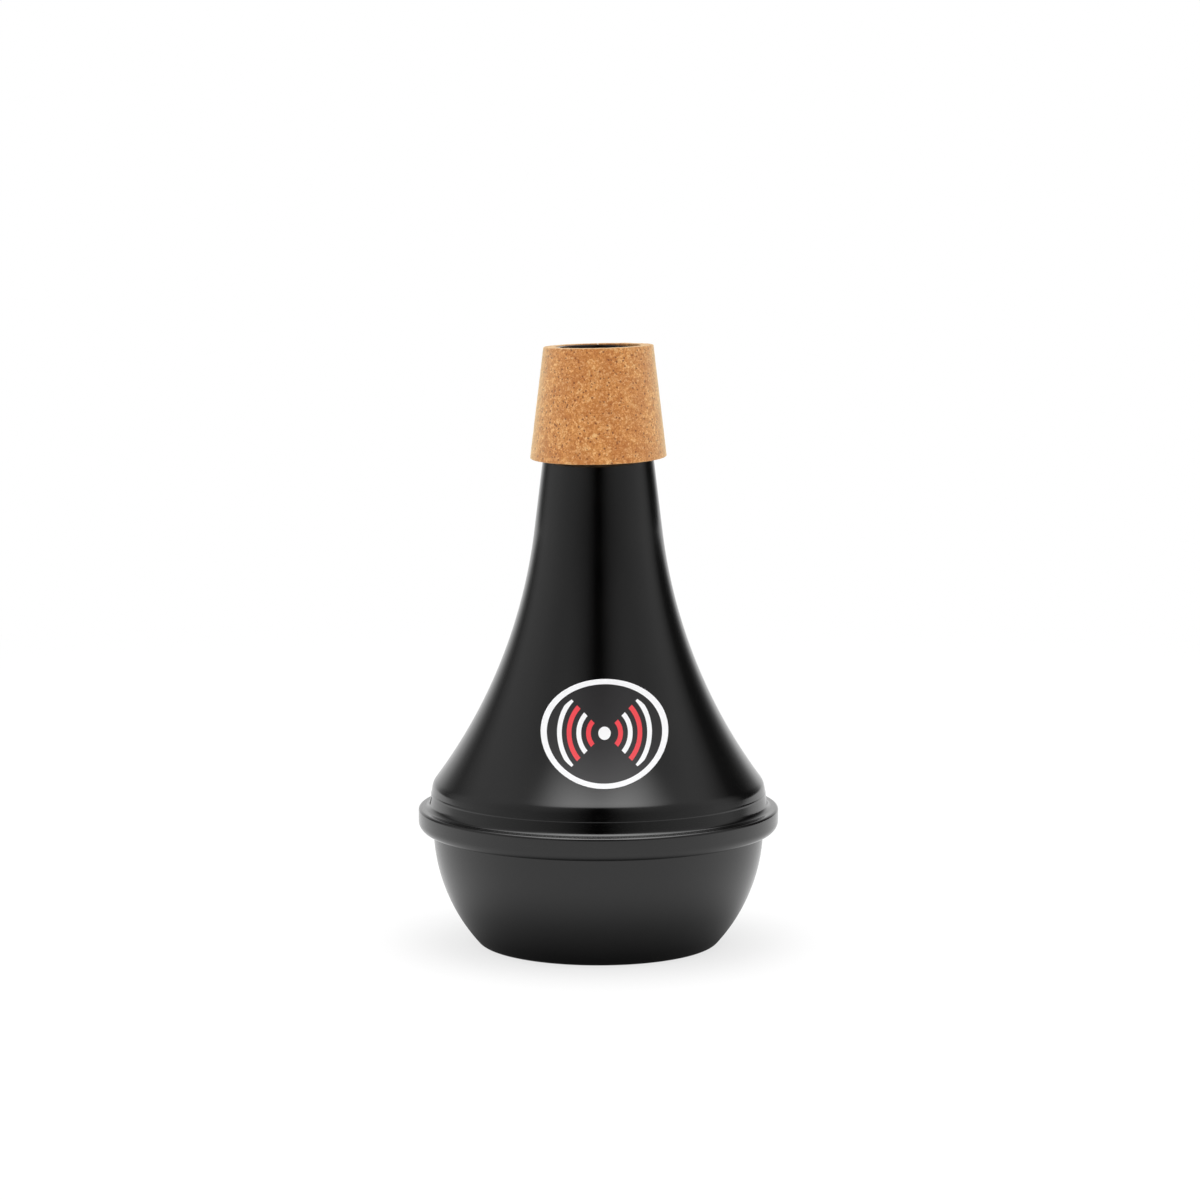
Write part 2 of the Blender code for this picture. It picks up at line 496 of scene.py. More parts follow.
@dataclass(frozen=True)
class Finish:
    """A surface finish on a Principled shader."""

    name: str = "finish"
    roughness: float = 0.5
    reflectance: float = 1.5

    def material(self) -> bpy.types.Material:
        """Build the finish's material.

        Returns:
            The material.
        """
        made = bpy.data.materials.new(self.name)
        made.use_nodes = True
        shader = made.node_tree.nodes["Principled BSDF"]
        shader.inputs["Roughness"].default_value = self.roughness
        shader.inputs["IOR"].default_value = self.reflectance
        self.dress(NodeBook(made.node_tree), shader.inputs)
        return made

    def dress(self, book: NodeBook, shader: bpy.types.NodeInputs) -> None:
        """Add the finish's own pattern."""


@dataclass(frozen=True)
class BlackAnodised(Finish):
    """Spun aluminium under a black anodised skin, with faint marks of the spinning roller."""

    name: str = "black_anodised"
    roughness: float = 0.155
    reflectance: float = 1.6
    colour: tuple = (0.0009, 0.0008, 0.0009)
    worn: tuple = (0.0019, 0.0017, 0.0015)
    worn_reach: tuple = (0.35, 0.75)
    patch: float = 9.0 * MM
    patch_sheen: float = 0.05
    dust_share: float = 0.3
    dust_fineness: float = 12.0
    mark_pitch: float = 0.45 * MM
    mark_slope: float = 0.6
    mark_depth: float = 0.004 * MM
    mark_strength: float = 0.35
    mark_sheen: float = 0.03
    vent: tuple = ()
    vent_margin: float = 1.03
    raw: float = 0.95

    def dress(self, book: NodeBook, shader: bpy.types.NodeInputs) -> None:
        """Lay the roller's rings and the uneven sheen of the skin.

        Args:
            book: the material's node tree.
            shader: inputs of its shader.
        """
        point = book.point()
        x, y, z = book.parts(point)
        along = z + self.mark_slope * (x * x + y * y).root()
        ring_point = book.node("ShaderNodeCombineXYZ", (along, 0.0, 0.0))
        rings = book.noise(ring_point, 1 / self.mark_pitch, 3.0, 0.6)
        clouds = book.noise(point, 1 / self.patch, 3.0, 0.55)
        dust = book.noise(point, self.dust_fineness / self.patch, 2.0, 0.6)
        tone = clouds * (1 - self.dust_share) + dust * self.dust_share
        wear = tone.step(*self.worn_reach)
        book.feed(shader["Base Color"], book.blend(wear, self.colour, self.worn))
        sheen = self.roughness + (clouds - 0.5) * self.patch_sheen + (rings - 0.5) * self.mark_sheen
        if self.vent:
            drilled_wall = self.vent_wall(x, y, z)
            sheen = sheen * (1 - drilled_wall) + drilled_wall * self.raw
        book.feed(shader["Roughness"], sheen)
        book.feed(shader["Normal"], book.bump(rings, self.mark_depth, self.mark_strength))

    def vent_wall(self, x: Signal, y: Signal, z: Signal) -> Signal:
        """Find the dull walls of the vents.

        Args:
            x: place across the mute.
            y: place from front to back.
            z: height.

        Returns:
            1 on the walls, and 0 elsewhere.
        """
        radius, height, turn = self.vent
        across = y * math.cos(turn) - x * math.sin(turn)
        rise = z - height
        return (across * across + rise * rise).root() < radius * self.vent_margin


@dataclass(frozen=True)
class AgglomeratedCork(Finish):
    """Cork granules pressed into sheet, sanded, with dark bark specks and pale flecks."""

    name: str = "agglomerated_cork"
    roughness: float = 0.86
    reflectance: float = 1.35
    granule: float = 0.75 * MM
    granule_share: float = 0.35
    bend: float = 0.8
    bend_fineness: float = 0.9
    grain_fineness: float = 1.6
    grain_share: float = 1.6
    grain_offset: float = 0.475
    tones: tuple = (0.0, 0.38, 0.62, 1.0)
    drift_fineness: float = 0.16
    drift_reach: tuple = (0.35, 0.7)
    drift_share: float = 0.40
    gap_width: float = 0.14
    gap_share: float = 0.35
    fleck: float = 0.55 * MM
    fleck_reach: tuple = (0.60, 0.70)
    fleck_share: float = 0.60
    bark_pitch: float = 1.0 * MM
    bark_reach: tuple = (0.16, 0.33)
    bark_count: float = 0.62
    bark_share: float = 0.88
    relief: float = 0.05 * MM
    relief_strength: float = 0.7
    relief_parts: tuple = (0.5, 0.5, 0.6)
    relief_gap: float = 0.25
    fuzz: float = 0.75
    fuzz_tint: tuple = (1.0, 0.96, 0.66)
    tan: tuple = (0.585, 0.230, 0.057)
    honey: tuple = (0.69, 0.302, 0.083)
    ginger: tuple = (0.41, 0.122, 0.027)
    pale: tuple = (0.88, 0.57, 0.26)
    bark: tuple = (0.19, 0.046, 0.014)

    def dress(self, book: NodeBook, shader: bpy.types.NodeInputs) -> None:
        """Lay granules, specks and flecks, and their relief.

        Args:
            book: the material's node tree.
            shader: inputs of its shader.
        """
        point = book.point()
        bent = self.shifted(book, point)
        cells = {"Vector": bent, "Scale": 1 / self.granule}
        lot = self.draw(book, cells)
        gap = book.node("ShaderNodeTexVoronoi", cells, feature="DISTANCE_TO_EDGE")
        grain = book.noise(bent, self.grain_fineness / self.granule, 3.0, 0.7)
        tone = (lot * self.granule_share + grain * self.grain_share - self.grain_offset).step(0.0, 1.0)
        shades = (self.ginger, self.tan, self.honey, self.pale)
        colour = book.ramp(tone, list(zip(self.tones, shades)))
        drift = book.noise(point, self.drift_fineness / self.granule, 3.0)
        drifted = drift.step(*self.drift_reach) * self.drift_share
        colour = book.blend(drifted, colour, self.ginger)
        seam = 1 - gap.step(0.0, self.gap_width)
        colour = book.blend(seam * self.gap_share, colour, self.ginger)
        light = book.noise(bent, 1 / self.fleck, 2.0, 0.7).step(*self.fleck_reach)
        colour = book.blend(light * self.fleck_share, colour, self.pale)
        dark = self.bark_specks(book, bent)
        colour = book.blend(dark * self.bark_share, colour, self.bark)
        book.feed(shader["Base Color"], colour)
        book.feed(shader["Sheen Weight"], self.fuzz)
        book.feed(shader["Sheen Tint"], (*self.fuzz_tint, 1.0))
        crown, grit, pit = self.relief_parts
        height = gap.step(0.0, self.relief_gap) * crown + grain * grit - dark * pit
        book.feed(shader["Normal"], book.bump(height, self.relief, self.relief_strength))

    def shifted(self, book: NodeBook, point: Signal) -> Signal:
        """Shift a point a little at random, so that the granules aren't regular.

        Args:
            book: the material's node tree.
            point: the place on the piece.

        Returns:
            The shifted place.
        """
        fineness = {"Vector": point, "Scale": self.bend_fineness / self.granule}
        wander = book.node("ShaderNodeTexNoise", fineness, out="Color")
        shift = book.node("ShaderNodeVectorMath", (wander, (0.5, 0.5, 0.5)), operation="SUBTRACT")
        reach = {"Vector": shift, "Scale": self.bend * self.granule}
        scaled = book.node("ShaderNodeVectorMath", reach, operation="SCALE")
        return book.node("ShaderNodeVectorMath", (point, scaled), operation="ADD")

    def bark_specks(self, book: NodeBook, point: Signal) -> Signal:
        """Scatter small round specks of bark.

        Args:
            book: the material's node tree.
            point: the place on the piece.

        Returns:
            1 in the middle of a speck, and 0 outside the specks.
        """
        spots = {"Vector": point, "Scale": 1 / self.bark_pitch}
        near = book.node("ShaderNodeTexVoronoi", spots)
        return (1 - near.step(*self.bark_reach)) * (self.draw(book, spots) < self.bark_count)

    @staticmethod
    def draw(book: NodeBook, cells: dict) -> Signal:
        """Draw a number from 0 to 1 for each cell."""
        colour = book.node("ShaderNodeTexVoronoi", cells, out="Color")
        return book.node("ShaderNodeSeparateColor", (colour,))


@dataclass(frozen=True)
class DriedGlue(Finish):
    """Contact glue, dried to an amber skin."""

    name: str = "dried_glue"
    roughness: float = 0.45
    colour: tuple = (0.22, 0.105, 0.035)
    dark: tuple = (0.10, 0.045, 0.018)
    streak_scale: float = 900.0
    streak_reach: tuple = (0.3, 0.7)
    streak_depth: float = 0.04 * MM
    streak_strength: float = 0.6

    def dress(self, book: NodeBook, shader: bpy.types.NodeInputs) -> None:
        """Lay uneven brush marks.

        Args:
            book: the material's node tree.
            shader: inputs of its shader.
        """
        streaks = book.noise(book.point(), self.streak_scale, 3.0)
        thick = streaks.step(*self.streak_reach)
        book.feed(shader["Base Color"], book.blend(thick, self.colour, self.dark))
        book.feed(shader["Normal"], book.bump(streaks, self.streak_depth, self.streak_strength))


@dataclass(frozen=True)
class SealRubber(Finish):
    """Dull black rubber of the ring in the seam."""

    name: str = "seal_rubber"
    roughness: float = 0.8
    colour: tuple = (0.018, 0.018, 0.018)
    bloom: tuple = (0.045, 0.044, 0.042)
    bloom_scale: float = 400.0
    bloom_reach: tuple = (0.45, 0.8)
    bloom_depth: float = 0.03 * MM
    bloom_strength: float = 0.5

    def dress(self, book: NodeBook, shader: bpy.types.NodeInputs) -> None:
        """Lay the faint bloom of old rubber.

        Args:
            book: the material's node tree.
            shader: inputs of its shader.
        """
        cloud = book.noise(book.point(), self.bloom_scale, 3.0)
        bloomed = cloud.step(*self.bloom_reach)
        book.feed(shader["Base Color"], book.blend(bloomed, self.colour, self.bloom))
        book.feed(shader["Normal"], book.bump(cloud, self.bloom_depth, self.bloom_strength))


@dataclass(frozen=True)
class BadgePrint(Finish):
    """An oval print: a white border, and rings of sound that spread both ways from a dot."""

    name: str = "badge_print"
    roughness: float = 0.30
    middle: tuple = (0.0, 0.0)
    half_width: float = 15.5 * MM
    half_height: float = 12.4 * MM
    border: float = 0.905
    dot: float = 1.5 * MM
    wave_first: float = 3.9 * MM
    wave_pitch: float = 2.35 * MM
    wave_width: float = 1.15 * MM
    wave_limit: float = 0.80
    waves: int = 4
    fan_slope: float = 0.95
    peel_scale: float = 1500.0
    peel_sheen: float = 0.08
    peel_depth: float = 0.006 * MM
    peel_strength: float = 0.4
    white: tuple = (0.93, 0.93, 0.94)
    red: tuple = (0.84, 0.060, 0.075)
    ink: tuple = (0.018, 0.017, 0.018)

    def dress(self, book: NodeBook, shader: bpy.types.NodeInputs) -> None:
        """Print the border, the dot and the rings.

        Args:
            book: the material's node tree.
            shader: inputs of its shader.
        """
        point = book.point()
        x, _, z = book.parts(point)
        side = x - self.middle[0]
        rise = z - self.middle[1]
        wide = side / self.half_width
        tall = rise / self.half_height
        oval = (wide * wide + tall * tall).root()
        reach = (side * side + rise * rise).root()
        fan = (abs(rise) < abs(side) * self.fan_slope) * (oval < self.wave_limit)
        colour = book.blend(oval > self.border, self.ink, self.white)
        colour = book.blend(reach < self.dot, colour, self.white)
        for index in range(self.waves):
            middle = self.wave_first + index * self.wave_pitch
            band = (abs(reach - middle) < self.wave_width / 2) * fan
            colour = book.blend(band, colour, self.red if index % 2 == 0 else self.white)
        peel = book.noise(point, self.peel_scale)
        book.feed(shader["Base Color"], colour)
        book.feed(shader["Roughness"], self.roughness + (peel - 0.5) * self.peel_sheen)
        book.feed(shader["Normal"], book.bump(peel, self.peel_depth, self.peel_strength))


@dataclass(frozen=True)
class PaleFloor:
    """The plain white table that the mute stands on."""

    name: str = "pale_floor"
    white: float = 0.92
    backdrop_share: float = 0.74
    shadow_reach: tuple = (0.12, 0.60)
    painted_front_level: float = 0.84
    unit: float = 100 * MM
    # Painted shadow round the foot: the mirrored floor's brightness against distance from the axis, in
    # units of 100 mm.
    rise: tuple = (
        (0.26, 0.02), (0.32, 0.105), (0.36, 0.22), (0.42, 0.40), (0.47, 0.57), (0.52, 0.72),
        (0.58, 0.85), (0.66, 0.95), (0.78, 1.0), (1.0, 1.0),
    )

    def material(self) -> bpy.types.Material:
        """Build paper with the white backdrop, and with a painted shadow and painted shade where metal
        mirrors it.

        Returns:
            The material.
        """
        made = bpy.data.materials.new(self.name)
        made.use_nodes = True
        made.node_tree.nodes.clear()
        book = NodeBook(made.node_tree)
        x, y, _ = book.parts(book.point())
        reach = (x * x + y * y).root()
        paper = book.node("ShaderNodeBsdfDiffuse", {"Color": (self.white,) * 3 + (1.0,)})
        backdrop = book.node("ShaderNodeEmission", {"Strength": 1.0})
        share = reach.step(*self.shadow_reach) * (1 - self.backdrop_share) + self.backdrop_share
        seen = book.node("ShaderNodeLightPath", out="Is Camera Ray")
        mixed = book.node("ShaderNodeMixShader", (seen * share, paper, backdrop))
        # Glossy rays see a painted floor instead of the paper: a painted shadow at the foot and
        # painted shade in front.
        mirrored = book.node("ShaderNodeLightPath", out="Is Glossy Ray")
        shade = book.node("ShaderNodeEmission", {"Color": self.shade(book, reach, y)})
        book.surface(book.node("ShaderNodeMixShader", (mirrored, mixed, shade)))
        return made

    def shade(self, book: NodeBook, reach: Signal, y: Signal) -> Signal:
        """Return the mirrored floor's brightness as painted light: a painted shadow dark at the foot,
        and painted shade that leaves it fullest behind.

        Args:
            book: the floor's node tree.
            reach: distance from the mute's axis.
            y: distance behind it.

        Returns:
            The brightness, as a grey.
        """
        # Painted shade: the mirrored floor is darker in front of the mute than behind it.
        painted_front_share = (y / reach).step(-1.0, 0.0) * (1 - self.painted_front_level) + self.painted_front_level
        stops = [(place, (level,) * 3) for place, level in self.rise]
        rise = book.ramp(reach / self.unit, stops)
        return book.blend(1 - painted_front_share, rise, (0.0, 0.0, 0.0))


@dataclass(frozen=True)
class WhiteTent:
    """Soft white surroundings: darker behind the camera and at both back corners."""

    levels: tuple = (
        (-180, 1.0), (-160, 1.0), (-150, 0.80), (-140, 0.32), (-131, 0.14), (-122, 0.31),
        (-112, 0.49), (-100, 0.54), (-85, 0.55), (-60, 0.45), (-50, 0.39), (-40, 0.31),
        (-30, 0.235), (-20, 0.165), (-10, 0.06), (-4, 0.0), (4, 0.0), (10, 0.06), (20, 0.165),
        (30, 0.235), (40, 0.30), (50, 0.37), (60, 0.44), (90, 0.55), (100, 0.48), (110, 0.25),
        (118, 0.05), (130, 0.03), (138, 0.08), (146, 0.26), (158, 1.0), (180, 1.0),
    )
    front_gain: float = 1.2
    front_reach: tuple = (0.5, 0.95)
    back_reach: tuple = (0.74, 0.86)
    back_fade: tuple = (0.22, 0.60)
    back_dark: float = 0.12
    box_level: float = 3.8
    box_side: float = 0.03
    box_width: tuple = (0.12, 0.82)
    box_front: tuple = (0.40, 0.80)
    box_back: tuple = (-0.95, -0.55)
    room_level: float = 0.19
    wall_share: float = 1.50
    box_share: float = 0.30
    horizon: float = 0.05

    def hang(self) -> None:
        """Build the world."""
        world = bpy.data.worlds.new("white_tent")
        world.use_nodes = True
        bpy.context.scene.world = world
        world.node_tree.nodes.clear()
        book = NodeBook(world.node_tree)
        x, y, z = book.parts(book.node("ShaderNodeTexCoord", out="Generated"))
        box = self.soft_box(x, y, z)
        walls = self.sides(book, x, y, z)
        lighting = box * (self.box_level * self.box_share) + walls * self.wall_share + self.room_level
        mirrored = walls + box * self.box_level
        rays = {
            name: book.node("ShaderNodeLightPath", out=name)
            for name in ("Is Camera Ray", "Is Diffuse Ray")
        }
        level = rays["Is Diffuse Ray"] * (lighting - mirrored) + mirrored
        level = rays["Is Camera Ray"] * (1 - level) + level
        book.sky(book.node("ShaderNodeBackground", {"Color": level, "Strength": 1.0}))

    def sides(self, book: NodeBook, x: Signal, y: Signal, z: Signal) -> Signal:
        """Return the brightness of the walls by how far round from the front they are.

        Args:
            book: the world's node tree.
            x: sideways part of the view's direction.
            y: its part towards the back.
            z: its part upwards.

        Returns:
            The brightness.
        """
        turn = book.node("ShaderNodeMath", (x, 0 - y), operation="ARCTAN2") / math.tau + 0.5
        stops = [(place / 360 + 0.5, (level,) * 3) for place, level in self.levels]
        wall = book.node("ShaderNodeRGBToBW", (book.ramp(turn, stops),))
        toward_back = y / (x * x + y * y + NEARLY_ZERO).root()
        gain = (0 - toward_back).step(*self.front_reach) * z * self.front_gain + 1
        fade = toward_back.step(*self.back_reach) * z.step(*self.back_fade)
        return wall * gain * (1 - fade) + fade * self.back_dark

    def soft_box(self, x: Signal, y: Signal, z: Signal) -> Signal:
        """Hang the soft box overhead.

        Args:
            x: sideways part of the view's direction.
            y: its part towards the back.
            z: its part upwards.

        Returns:
            1 in the box, fading out at its edges.
        """
        height = z.at_least(self.horizon)
        side = abs(x / height - self.box_side)
        front = (0 - y) / height
        across = 1 - side.step(*self.box_width)
        return across * (1 - front.step(*self.box_front)) * front.step(*self.box_back)


def hand_over(piece: bpy.types.Object, finish: Finish, slot: str, *nodes: str) -> None:
    """Dress a piece and put it in the frame.

    Args:
        piece: the finished mesh.
        finish: its finish.
        slot: the record's material slot; not used.
        nodes: the frame's nodes that it stands for.
    """
    piece.data.materials.clear()
    piece.data.materials.append(finish.material())
    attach(piece, "root")
    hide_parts(*nodes)
    count = sum(len(face.vertices) - 2 for face in piece.data.polygons)
    LOG.info("%s: %d triangles", piece.name, count)


# Sub-assemblies

@dataclass
class UpperShell:
    """Neck, flare, shoulder, band and rolled rim, spun from one sheet."""

    top_height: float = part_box("upper_shell")[1][2]
    rim_radius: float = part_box("upper_shell")[1][0]
    rim_bottom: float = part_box("upper_shell")[0][2] - 0.3 * MM
    rim_height: float = 5.95 * MM
    neck_radius: float = 10.43 * MM
    neck_taper: float = math.radians(6.9)
    flare_radius: float = 132.4 * MM
    shoulder: Vector = field(default_factory=lambda: Vector((41.35 * MM, 40.7 * MM)))
    shoulder_round: float = 4.2 * MM
    crease: Vector = field(default_factory=lambda: Vector((41.78 * MM, 38.1 * MM)))
    ridge: float = 0.065 * MM
    ridge_above: tuple = (0.25, 0.16, 0.10)
    ridge_below: tuple = (0.07, 0.11, 0.18, 0.4, 0.6)
    foot_radius: float = 42.4 * MM
    foot_round: float = 1.3 * MM
    rim_round: float = 0.65 * MM
    curl_round: float = 2.6 * MM
    hook_radius: float = 41.42 * MM
    sheet: float = 0.8 * MM
    lip_round: float = 0.12 * MM
    vent_radius: float = 0.95 * MM
    vent_height: float = 36.6 * MM
    vent_turn: float = math.radians(6.5)
    drill_spare: float = 2.2

    def flare(self) -> list[Vector]:
        """Work out the neck's cone and the flare's arc.

        Returns:
            The outer line, from the neck's lip down to the shoulder.
        """
        top = Vector((self.neck_radius, self.top_height))
        along = Vector((math.sin(self.neck_taper), -math.cos(self.neck_taper)))
        outward = Vector((math.cos(self.neck_taper), math.sin(self.neck_taper)))
        reach = self.shoulder - top
        drop = math.sqrt(self.flare_radius ** 2 - (self.flare_radius - reach.dot(outward)) ** 2)
        cone_end = top + along * (reach.dot(along) - drop)
        centre = cone_end + outward * self.flare_radius
        start = math.pi + self.neck_taper
        turn = math.asin(drop / self.flare_radius)
        return [top] + arc(centre, self.flare_radius, start, start + turn, Pieces.FLARE)

    def outline(self) -> list[Vector]:
        """Work out the whole sheet's outer line.

        Returns:
            The line, from the neck's lip to the hook under the rim.
        """
        flare = self.flare()
        rim_top_height = self.rim_bottom + self.rim_height
        foot = Vector((self.foot_radius, rim_top_height))
        rim_top = Vector((self.rim_radius, rim_top_height))
        rim_bottom = Vector((self.rim_radius, self.rim_bottom))
        hook = Vector((self.hook_radius, self.rim_bottom))
        line = flare[:-1]
        line += fillet(flare[-2], self.shoulder, self.crease, self.shoulder_round, Pieces.ROUND)
        line += self.crease_ridge(foot)
        line += fillet(self.crease, foot, rim_top, self.foot_round, Pieces.ROUND)
        line += fillet(foot, rim_top, rim_bottom, self.rim_round, Pieces.ROUND)
        line += fillet(rim_top, rim_bottom, hook, self.curl_round, Pieces.CURL)
        line.append(hook)
        return line

    def crease_ridge(self, foot: Vector) -> list[Vector]:
        """Return the low ridge that the roller left round the band.

        Args:
            foot: the corner where the band meets the rim's ledge.

        Returns:
            The ridge's points, with plain stretches of the band on both sides.
        """
        rise = self.shoulder - self.crease
        fall = foot - self.crease
        top = self.crease + Vector((self.ridge, 0.0))
        upper = [self.crease + rise * share for share in self.ridge_above]
        lower = [self.crease + fall * share for share in self.ridge_below]
        return upper + [top] + lower

    def radius_at(self, height: float) -> float:
        """Find the outer radius of the flare at a height.

        Args:
            height: the height.

        Returns:
            The radius.
        """
        line = self.flare()
        for upper, lower in zip(line, line[1:]):
            if lower.y <= height <= upper.y:
                share = (upper.y - height) / (upper.y - lower.y)
                return upper.x + (lower.x - upper.x) * share
        return line[-1].x

    def build(self) -> None:
        """Spin the sheet, give it its wall, round its lip and drill the vents."""
        piece = drawn_outline("shell_sheet", self.outline())
        spun(piece, Step.SHEET)
        faces_outward(piece)
        thickened(piece, self.sheet)
        softened(piece, self.lip_round)
        drill_length = self.drill_spare * self.rim_radius
        drilled(piece, self.vent_radius, drill_length, self.vent_height, self.vent_turn)
        smoothed(piece)
        vent = (self.vent_radius, self.vent_height, self.vent_turn)
        hand_over(piece, BlackAnodised(name="shell_black", vent=vent), "black_shell", "upper_shell")


@dataclass
class BaseBowl:
    """The round bowl that the mute stands on, spun from one sheet."""

    hem_radius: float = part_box("base_bowl")[1][0]
    hem_height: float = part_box("base_bowl")[1][2]
    wall_radius: float = 41.3 * MM
    side_radius: float = 43.7 * MM
    corner_round: float = 2.3 * MM
    hem_round: float = 0.5 * MM
    sheet: float = 0.8 * MM
    lip_round: float = 0.12 * MM
    ring_width: float = 4.0 * MM
    roughness: float = 0.18

    def outline(self) -> list[Vector]:
        """Work out the sheet's outer line.

        Returns:
            The line, from the edge of the hem to the middle of the flat that the mute stands on.
        """
        underside = self.hem_height - self.sheet
        hem_edge = Vector((self.hem_radius, underside))
        hem_corner = Vector((self.wall_radius, underside))
        side_start = hem_corner - Vector((0.0, self.hem_round))
        side_centre = side_start - Vector((self.side_radius, 0.0))
        turn = math.asin(side_start.y / self.side_radius)
        side = arc(side_centre, self.side_radius, 0.0, -turn, Pieces.BOWL_SIDE)
        middle = Vector((0.0, 0.0))
        line = [hem_edge]
        line += fillet(hem_edge, hem_corner, side_start, self.hem_round, Pieces.HEM)
        line += side[1:-1]
        line += fillet(side[-2], side[-1], middle, self.corner_round, Pieces.BOWL_CORNER)
        return divided(line + [middle], self.ring_width)

    def build(self) -> None:
        """Spin the sheet and give it its wall."""
        piece = drawn_outline("bowl_sheet", self.outline())
        spun(piece, Step.SHEET)
        faces_outward(piece)
        thickened(piece, self.sheet)
        softened(piece, self.lip_round)
        smoothed(piece)
        finish = BlackAnodised(name="bowl_black", roughness=self.roughness)
        hand_over(piece, finish, "black_bowl", "base_bowl")


@dataclass
class CorkCollar:
    """Cork sheet bent round the neck, butted at the back, with both rims cut a little off square."""

    shell: UpperShell
    top_height: float = 149.7 * MM
    length: float = 27.5 * MM
    inside: float = 0.16 * MM
    outside: float = 3.2 * MM
    top_rise: float = math.radians(1.3)
    top_lean: float = math.radians(-0.9)
    bottom_rise: float = math.radians(1.1)
    bottom_lean: float = math.radians(1.4)
    edge_round: float = 0.2 * MM
    slit: float = 0.16 * MM
    ring_width: float = 0.6 * MM
    roughening: float = 0.035 * MM
    seed: int = 5
    grit: float = 0.7 * MM
    wave: float = 2.2 * MM
    glue_top_margin: float = 0.25 * MM
    glue_bottom_margin: float = 0.5 * MM
    glue_clearance: tuple = (0.02 * MM, 0.03 * MM)
    glue_ring_width: float = 6.0 * MM

    def cone(self, height: float, away: float) -> float:
        """Find a cone that runs along the neck.

        Args:
            height: the height.
            away: distance from the neck, square to its surface.

        Returns:
            The cone's radius at that height.
        """
        taper = self.shell.neck_taper
        radius = self.shell.neck_radius + (self.shell.top_height - height) * math.tan(taper)
        return radius + away / math.cos(taper)

    def section(self) -> list[Vector]:
        """Work out the section of the sheet, with its edges rounded.

        Returns:
            The section, closed on itself.
        """
        bottom = self.top_height - self.length
        corners = [
            Vector((self.cone(self.top_height, self.outside), self.top_height)),
            Vector((self.cone(bottom, self.outside), bottom)),
            Vector((self.cone(bottom, self.inside), bottom)),
            Vector((self.cone(self.top_height, self.inside), self.top_height)),
        ]
        rounds = (self.edge_round, self.edge_round, self.edge_round / 2, self.edge_round / 2)
        line = []
        for index, corner in enumerate(corners):
            before = corners[index - 1]
            after = corners[(index + 1) % len(corners)]
            line += fillet(before, corner, after, rounds[index], Pieces.CORK_EDGE)
        return divided(line + [line[0]], self.ring_width)

    def slanted(self, piece: bpy.types.Object) -> None:
        """Slant both ends, and roughen the cut and sanded faces a little.

        Args:
            piece: the sleeve.
        """
        bottom = self.top_height - self.length
        noise.seed_set(self.seed)
        for corner in piece.data.vertices:
            place = corner.co
            share = (place.z - bottom) / self.length
            top = math.tan(self.top_rise) * place.x + math.tan(self.top_lean) * place.y
            foot = math.tan(self.bottom_rise) * place.x + math.tan(self.bottom_lean) * place.y
            shift = noise.noise_vector(place / self.grit) + noise.noise_vector(place / self.wave)
            moved = place + shift * self.roughening
            moved.z += share * top + (1 - share) * foot
            corner.co = moved

    def build(self) -> None:
        """Spin the sheet, leaving the slit, close its ends and slant its rims."""
        piece = drawn_outline("cork_sleeve", self.section())
        opening = self.slit / self.cone(self.top_height, self.outside)
        activate(piece)
        turn = Matrix.Rotation(math.pi / 2 + opening / 2, 4, "Z")
        piece.data.transform(turn)
        spun(piece, Step.CORK, math.tau - opening)
        bpy.ops.object.mode_set(mode="EDIT")
        bpy.ops.mesh.select_all(action="DESELECT")
        bpy.ops.mesh.select_non_manifold()
        bpy.ops.mesh.edge_face_add()
        bpy.ops.mesh.select_all(action="SELECT")
        bpy.ops.mesh.normals_make_consistent(inside=False)
        bpy.ops.object.mode_set(mode="OBJECT")
        self.slanted(piece)
        smoothed(piece)
        hand_over(piece, AgglomeratedCork(), "collar_cork", "cork_collar")
        self.glue()

    def glue(self) -> None:
        """Spin the film of glue between the neck and the cork."""
        top = self.shell.top_height - self.glue_top_margin
        bottom = self.top_height - self.length + self.glue_bottom_margin
        near = self.glue_clearance[0]
        far = self.inside - self.glue_clearance[1]
        corners = [
            Vector((self.cone(top, far), top)),
            Vector((self.cone(bottom, far), bottom)),
            Vector((self.cone(bottom, near), bottom)),
            Vector((self.cone(top, near), top)),
        ]
        piece = drawn_outline("glue_film", divided(corners + [corners[0]], self.glue_ring_width))
        spun(piece, Step.RING)
        smoothed(piece)
        hand_over(piece, DriedGlue(), "collar_glue", "collar_glue")


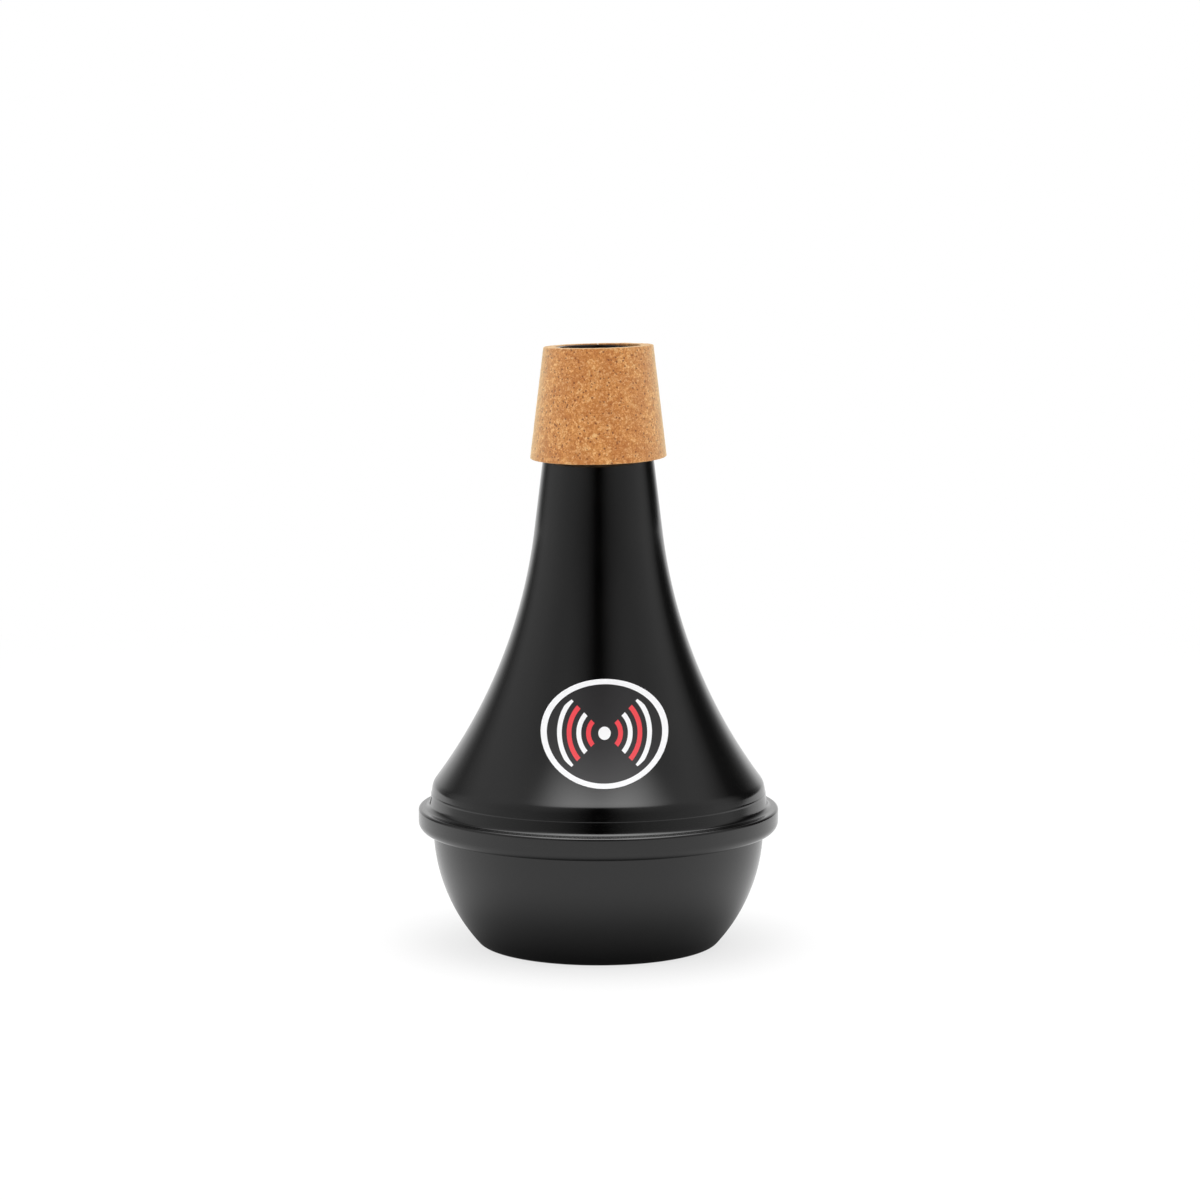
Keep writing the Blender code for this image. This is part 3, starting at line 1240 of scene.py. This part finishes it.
@dataclass
class Badge:
    """A thin oval print that lies on the front of the flare."""

    shell: UpperShell
    half_width: float = 15.5 * MM
    half_height: float = 12.4 * MM
    height: float = 57.8 * MM
    side: float = 1.5 * MM
    lift: float = 0.03 * MM
    film: float = 0.08 * MM
    rings: int = 14
    corners: int = 120

    def build(self) -> None:
        """Inset a disc into rings, and lay it on the flare."""
        deselect_all()
        bpy.ops.mesh.primitive_circle_add(vertices=self.corners, radius=1.0, fill_type="NGON")
        piece = bpy.context.active_object
        piece.name = "badge_film"
        bpy.ops.object.mode_set(mode="EDIT")
        bpy.ops.mesh.select_all(action="SELECT")
        for _ in range(self.rings - 1):
            bpy.ops.mesh.inset(thickness=1.0 / self.rings, depth=0.0)
        bpy.ops.mesh.poke()
        bpy.ops.object.mode_set(mode="OBJECT")
        for corner in piece.data.vertices:
            side = self.side + corner.co.x * self.half_width
            rise = self.height + corner.co.y * self.half_height
            radius = self.shell.radius_at(rise) + self.lift
            corner.co = Vector((side, -math.sqrt(radius ** 2 - side ** 2), rise))
        faces_outward(piece)
        thickened(piece, self.film, 1.0)
        smoothed(piece)
        finish = BadgePrint(
            middle=(self.side, self.height),
            half_width=self.half_width,
            half_height=self.half_height,
        )
        hand_over(piece, finish, "badge_print", "badge")


# Studio

@dataclass
class Studio:
    """White table, soft light from the sides and above, and the camera."""

    camera_distance: float = 995.6 * MM
    camera_height: float = 215.4 * MM
    aim_height: float = 86.4 * MM
    aim_side: float = 0.4 * MM
    focal_pixels: float = 4033.0
    picture_pixels: float = 1200.0
    sensor_mm: float = 36.0
    nearest: float = 10 * MM
    floor_size: float = 6.0

    def build_floor(self) -> None:
        """Lay the table."""
        deselect_all()
        bpy.ops.mesh.primitive_plane_add(size=self.floor_size, location=(0.0, 0.0, 0.0))
        floor = bpy.context.active_object
        floor.name = "white_table"
        floor.data.materials.append(PaleFloor().material())

    def build_camera(self) -> None:
        """Set the camera where the photograph was taken from."""
        data = bpy.data.cameras.new("camera")
        data.sensor_width = self.sensor_mm
        data.lens = self.focal_pixels / self.picture_pixels * self.sensor_mm
        data.clip_start = self.nearest
        camera = bpy.data.objects.new("camera", data)
        bpy.context.scene.collection.objects.link(camera)
        place = Vector((self.aim_side, -self.camera_distance, self.camera_height))
        aim = Vector((self.aim_side, 0.0, self.aim_height))
        camera.location = place
        camera.rotation_euler = (aim - place).to_track_quat("-Z", "Y").to_euler()
        bpy.context.scene.camera = camera

    def build(self) -> None:
        """Build the whole studio."""
        WhiteTent().hang()
        self.build_floor()
        self.build_camera()
        bpy.context.scene.view_settings.view_transform = "Standard"


def dress_seal() -> None:
    """Give the ring inside the seam its rubber."""
    ring = bpy.data.objects["seam_seal"]
    ring.data.materials.clear()
    ring.data.materials.append(SealRubber().material())
    LOG.info("%s: dressed in place", ring.name)


def main() -> None:
    """Build the pieces in order, then the studio."""
    logging.basicConfig(level=logging.INFO, format="%(name)s: %(message)s")
    shell = UpperShell()
    shell.build()
    BaseBowl().build()
    CorkCollar(shell).build()
    Badge(shell).build()
    dress_seal()
    Studio().build()


if __name__ == "__main__":
    main()
